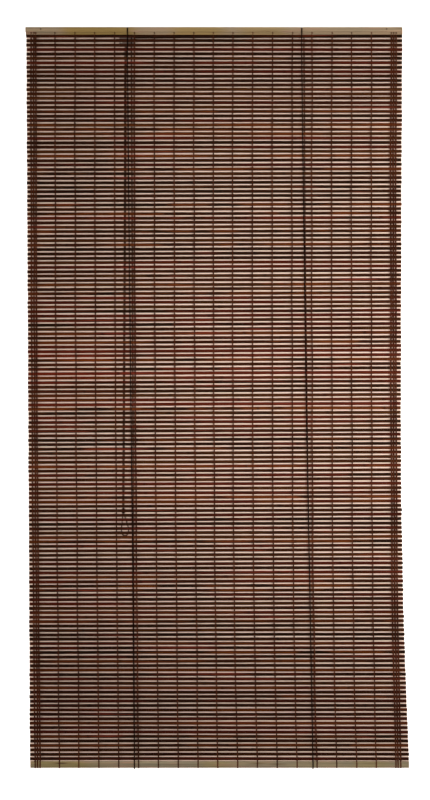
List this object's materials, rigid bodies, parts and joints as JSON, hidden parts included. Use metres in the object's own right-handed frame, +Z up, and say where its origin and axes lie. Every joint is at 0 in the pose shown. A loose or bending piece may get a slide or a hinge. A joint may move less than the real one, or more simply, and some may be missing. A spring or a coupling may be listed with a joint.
{
  "type": "bamboo roll up blind",
  "caption": "Roll-up blind of dark bamboo slats woven on twined threads, with pale wooden laths, a clamped header, lift cords, a cord lock and a looped pull cord.",
  "frame": {"origin": "midway between the two wall-screw holes, on the wall face of the header", "axes": "+Z up, +X to the right as seen from the room, +Y into the wall; the mat hangs down along -Z"},
  "size_m": [0.9175, 0.0337, 1.776],
  "materials": {
    "pale_wood": "bare, satin",
    "stained_bamboo": "stained, satin",
    "thread": "twined, matte",
    "cord": "braided, matte",
    "lock_metal": "bronze brown, satin",
    "dark_plastic": "matte",
    "steel": "zinc plated"
  },
  "bodies": {
    "header": {"header_rail": "pale_wood", "front_fascia": "pale_wood", "top_lath": "pale_wood", "top_slat": "stained_bamboo", "warp_threads": "thread", "lift_cord_left": "cord", "lift_cord_right": "cord", "pull_cord": "cord", "pull_knot": "cord", "lock_body": "lock_metal", "lock_pins": "steel", "guide_eye": "steel", "lock_screws": "steel"},
    "lock_wheel": {"lock_wheel": "dark_plastic"},
    "lock_cam": {"lock_cam": "lock_metal"},
    "mat_01": {"slats_01": "stained_bamboo"},
    "mat_02": {"slats_02": "stained_bamboo"},
    "mat_03": {"slats_03": "stained_bamboo"},
    "mat_04": {"slats_04": "stained_bamboo"},
    "mat_05": {"slats_05": "stained_bamboo"},
    "mat_06": {"slats_06": "stained_bamboo"},
    "mat_07": {"slats_07": "stained_bamboo"},
    "mat_08": {"slats_08": "stained_bamboo"},
    "mat_09": {"slats_09": "stained_bamboo"},
    "mat_10": {"slats_10": "stained_bamboo"},
    "mat_11": {"slats_11": "stained_bamboo"},
    "mat_12": {"slats_12": "stained_bamboo"},
    "mat_13": {"slats_13": "stained_bamboo"},
    "mat_14": {"slats_14": "stained_bamboo"},
    "mat_15": {"slats_15": "stained_bamboo"},
    "mat_16": {"slats_16": "stained_bamboo"},
    "mat_17": {"slats_17": "stained_bamboo"},
    "mat_18": {"slats_18": "stained_bamboo"},
    "mat_19": {"slats_19": "stained_bamboo"},
    "mat_20": {"slats_20": "stained_bamboo"},
    "mat_21": {"slats_21": "stained_bamboo"},
    "mat_22": {"slats_22": "stained_bamboo"},
    "mat_23": {"slats_23": "stained_bamboo"},
    "mat_24": {"slats_24": "stained_bamboo"},
    "mat_25": {"slats_25": "stained_bamboo"},
    "mat_26": {"slats_26": "stained_bamboo"},
    "mat_27": {"slats_27": "stained_bamboo"},
    "mat_28": {"slats_28": "stained_bamboo"},
    "mat_29": {"slats_29": "stained_bamboo"},
    "mat_30": {"slats_30": "stained_bamboo"},
    "mat_31": {"slats_31": "stained_bamboo"},
    "mat_32": {"slats_32": "stained_bamboo"},
    "mat_33": {"slats_33": "stained_bamboo"},
    "mat_34": {"slats_34": "stained_bamboo"},
    "mat_35": {"slats_35": "stained_bamboo"},
    "mat_36": {"slats_36": "stained_bamboo"},
    "mat_37": {"slats_37": "stained_bamboo"},
    "mat_38": {"slats_38": "stained_bamboo"},
    "mat_39": {"slats_39": "stained_bamboo"},
    "mat_40": {"slats_40": "stained_bamboo"},
    "mat_41": {"slats_41": "stained_bamboo"},
    "mat_bottom": {"bottom_lath": "pale_wood"}
  },
  "joints": [
    {"name": "bend_01", "type": "hinge", "parent": "header", "child": "mat_01", "pos_m": [0, -0.02, -0.021], "axis": [-1, 0, 0], "range_deg": [0, 3], "deforming": ["warp_threads", "lift_cord_left", "lift_cord_right"]},
    {"name": "bend_02", "type": "hinge", "parent": "mat_01", "child": "mat_02", "pos_m": [0, -0.02, -0.0634], "axis": [-1, 0, 0], "range_deg": [0, 6]},
    {"name": "bend_03", "type": "hinge", "parent": "mat_02", "child": "mat_03", "pos_m": [0, -0.02, -0.1058], "axis": [-1, 0, 0], "range_deg": [0, 30.5]},
    {"name": "bend_04", "type": "hinge", "parent": "mat_03", "child": "mat_04", "pos_m": [0, -0.02, -0.1482], "axis": [-1, 0, 0], "range_deg": [0, 31]},
    {"name": "bend_05", "type": "hinge", "parent": "mat_04", "child": "mat_05", "pos_m": [0, -0.02, -0.1906], "axis": [-1, 0, 0], "range_deg": [0, 31.5]},
    {"name": "bend_06", "type": "hinge", "parent": "mat_05", "child": "mat_06", "pos_m": [0, -0.02, -0.233], "axis": [-1, 0, 0], "range_deg": [0, 31.5]},
    {"name": "bend_07", "type": "hinge", "parent": "mat_06", "child": "mat_07", "pos_m": [0, -0.02, -0.2754], "axis": [-1, 0, 0], "range_deg": [0, 32]},
    {"name": "bend_08", "type": "hinge", "parent": "mat_07", "child": "mat_08", "pos_m": [0, -0.02, -0.3178], "axis": [-1, 0, 0], "range_deg": [0, 32.5]},
    {"name": "bend_09", "type": "hinge", "parent": "mat_08", "child": "mat_09", "pos_m": [0, -0.02, -0.3602], "axis": [-1, 0, 0], "range_deg": [0, 32.5]},
    {"name": "bend_10", "type": "hinge", "parent": "mat_09", "child": "mat_10", "pos_m": [0, -0.02, -0.4026], "axis": [-1, 0, 0], "range_deg": [0, 33]},
    {"name": "bend_11", "type": "hinge", "parent": "mat_10", "child": "mat_11", "pos_m": [0, -0.02, -0.445], "axis": [-1, 0, 0], "range_deg": [0, 33.5]},
    {"name": "bend_12", "type": "hinge", "parent": "mat_11", "child": "mat_12", "pos_m": [0, -0.02, -0.4874], "axis": [-1, 0, 0], "range_deg": [0, 34]},
    {"name": "bend_13", "type": "hinge", "parent": "mat_12", "child": "mat_13", "pos_m": [0, -0.02, -0.5298], "axis": [-1, 0, 0], "range_deg": [0, 34]},
    {"name": "bend_14", "type": "hinge", "parent": "mat_13", "child": "mat_14", "pos_m": [0, -0.02, -0.5722], "axis": [-1, 0, 0], "range_deg": [0, 34.5]},
    {"name": "bend_15", "type": "hinge", "parent": "mat_14", "child": "mat_15", "pos_m": [0, -0.02, -0.6146], "axis": [-1, 0, 0], "range_deg": [0, 35]},
    {"name": "bend_16", "type": "hinge", "parent": "mat_15", "child": "mat_16", "pos_m": [0, -0.02, -0.657], "axis": [-1, 0, 0], "range_deg": [0, 35.5]},
    {"name": "bend_17", "type": "hinge", "parent": "mat_16", "child": "mat_17", "pos_m": [0, -0.02, -0.6994], "axis": [-1, 0, 0], "range_deg": [0, 36]},
    {"name": "bend_18", "type": "hinge", "parent": "mat_17", "child": "mat_18", "pos_m": [0, -0.02, -0.7418], "axis": [-1, 0, 0], "range_deg": [0, 36.5]},
    {"name": "bend_19", "type": "hinge", "parent": "mat_18", "child": "mat_19", "pos_m": [0, -0.02, -0.7842], "axis": [-1, 0, 0], "range_deg": [0, 37]},
    {"name": "bend_20", "type": "hinge", "parent": "mat_19", "child": "mat_20", "pos_m": [0, -0.02, -0.8266], "axis": [-1, 0, 0], "range_deg": [0, 37.5]},
    {"name": "bend_21", "type": "hinge", "parent": "mat_20", "child": "mat_21", "pos_m": [0, -0.02, -0.869], "axis": [-1, 0, 0], "range_deg": [0, 38.5]},
    {"name": "bend_22", "type": "hinge", "parent": "mat_21", "child": "mat_22", "pos_m": [0, -0.02, -0.9114], "axis": [-1, 0, 0], "range_deg": [0, 39]},
    {"name": "bend_23", "type": "hinge", "parent": "mat_22", "child": "mat_23", "pos_m": [0, -0.02, -0.9538], "axis": [-1, 0, 0], "range_deg": [0, 39.5]},
    {"name": "bend_24", "type": "hinge", "parent": "mat_23", "child": "mat_24", "pos_m": [0, -0.02, -0.9962], "axis": [-1, 0, 0], "range_deg": [0, 40.5]},
    {"name": "bend_25", "type": "hinge", "parent": "mat_24", "child": "mat_25", "pos_m": [0, -0.02, -1.0386], "axis": [-1, 0, 0], "range_deg": [0, 41]},
    {"name": "bend_26", "type": "hinge", "parent": "mat_25", "child": "mat_26", "pos_m": [0, -0.02, -1.081], "axis": [-1, 0, 0], "range_deg": [0, 42]},
    {"name": "bend_27", "type": "hinge", "parent": "mat_26", "child": "mat_27", "pos_m": [0, -0.02, -1.1234], "axis": [-1, 0, 0], "range_deg": [0, 42.5]},
    {"name": "bend_28", "type": "hinge", "parent": "mat_27", "child": "mat_28", "pos_m": [0, -0.02, -1.1658], "axis": [-1, 0, 0], "range_deg": [0, 43.5]},
    {"name": "bend_29", "type": "hinge", "parent": "mat_28", "child": "mat_29", "pos_m": [0, -0.02, -1.2082], "axis": [-1, 0, 0], "range_deg": [0, 44.5]},
    {"name": "bend_30", "type": "hinge", "parent": "mat_29", "child": "mat_30", "pos_m": [0, -0.02, -1.2506], "axis": [-1, 0, 0], "range_deg": [0, 45.5]},
    {"name": "bend_31", "type": "hinge", "parent": "mat_30", "child": "mat_31", "pos_m": [0, -0.02, -1.293], "axis": [-1, 0, 0], "range_deg": [0, 47]},
    {"name": "bend_32", "type": "hinge", "parent": "mat_31", "child": "mat_32", "pos_m": [0, -0.02, -1.3354], "axis": [-1, 0, 0], "range_deg": [0, 48]},
    {"name": "bend_33", "type": "hinge", "parent": "mat_32", "child": "mat_33", "pos_m": [0, -0.02, -1.3778], "axis": [-1, 0, 0], "range_deg": [0, 49.5]},
    {"name": "bend_34", "type": "hinge", "parent": "mat_33", "child": "mat_34", "pos_m": [0, -0.02, -1.4202], "axis": [-1, 0, 0], "range_deg": [0, 51]},
    {"name": "bend_35", "type": "hinge", "parent": "mat_34", "child": "mat_35", "pos_m": [0, -0.02, -1.4626], "axis": [-1, 0, 0], "range_deg": [0, 53]},
    {"name": "bend_36", "type": "hinge", "parent": "mat_35", "child": "mat_36", "pos_m": [0, -0.02, -1.505], "axis": [-1, 0, 0], "range_deg": [0, 55]},
    {"name": "bend_37", "type": "hinge", "parent": "mat_36", "child": "mat_37", "pos_m": [0, -0.02, -1.5474], "axis": [-1, 0, 0], "range_deg": [0, 57]},
    {"name": "bend_38", "type": "hinge", "parent": "mat_37", "child": "mat_38", "pos_m": [0, -0.02, -1.5898], "axis": [-1, 0, 0], "range_deg": [0, 59.5]},
    {"name": "bend_39", "type": "hinge", "parent": "mat_38", "child": "mat_39", "pos_m": [0, -0.02, -1.6322], "axis": [-1, 0, 0], "range_deg": [0, 62.5]},
    {"name": "bend_40", "type": "hinge", "parent": "mat_39", "child": "mat_40", "pos_m": [0, -0.02, -1.6746], "axis": [-1, 0, 0], "range_deg": [0, 66.5]},
    {"name": "bend_41", "type": "hinge", "parent": "mat_40", "child": "mat_41", "pos_m": [0, -0.02, -1.717], "axis": [-1, 0, 0], "range_deg": [0, 71]},
    {"name": "bend_bottom", "type": "hinge", "parent": "mat_41", "child": "mat_bottom", "pos_m": [0, -0.02, -1.7482], "axis": [-1, 0, 0], "range_deg": [0, 54.5]},
    {"name": "lock_wheel_spin", "type": "hinge", "parent": "header", "child": "lock_wheel", "pos_m": [-0.20355, -0.0067, -0.0232], "axis": [0, 1, 0], "continuous": true},
    {"name": "lock_cam_grip", "type": "hinge", "parent": "header", "child": "lock_cam", "pos_m": [-0.221, -0.0067, -0.029], "axis": [0, -1, 0], "range_deg": [0, 20]}
  ]
}
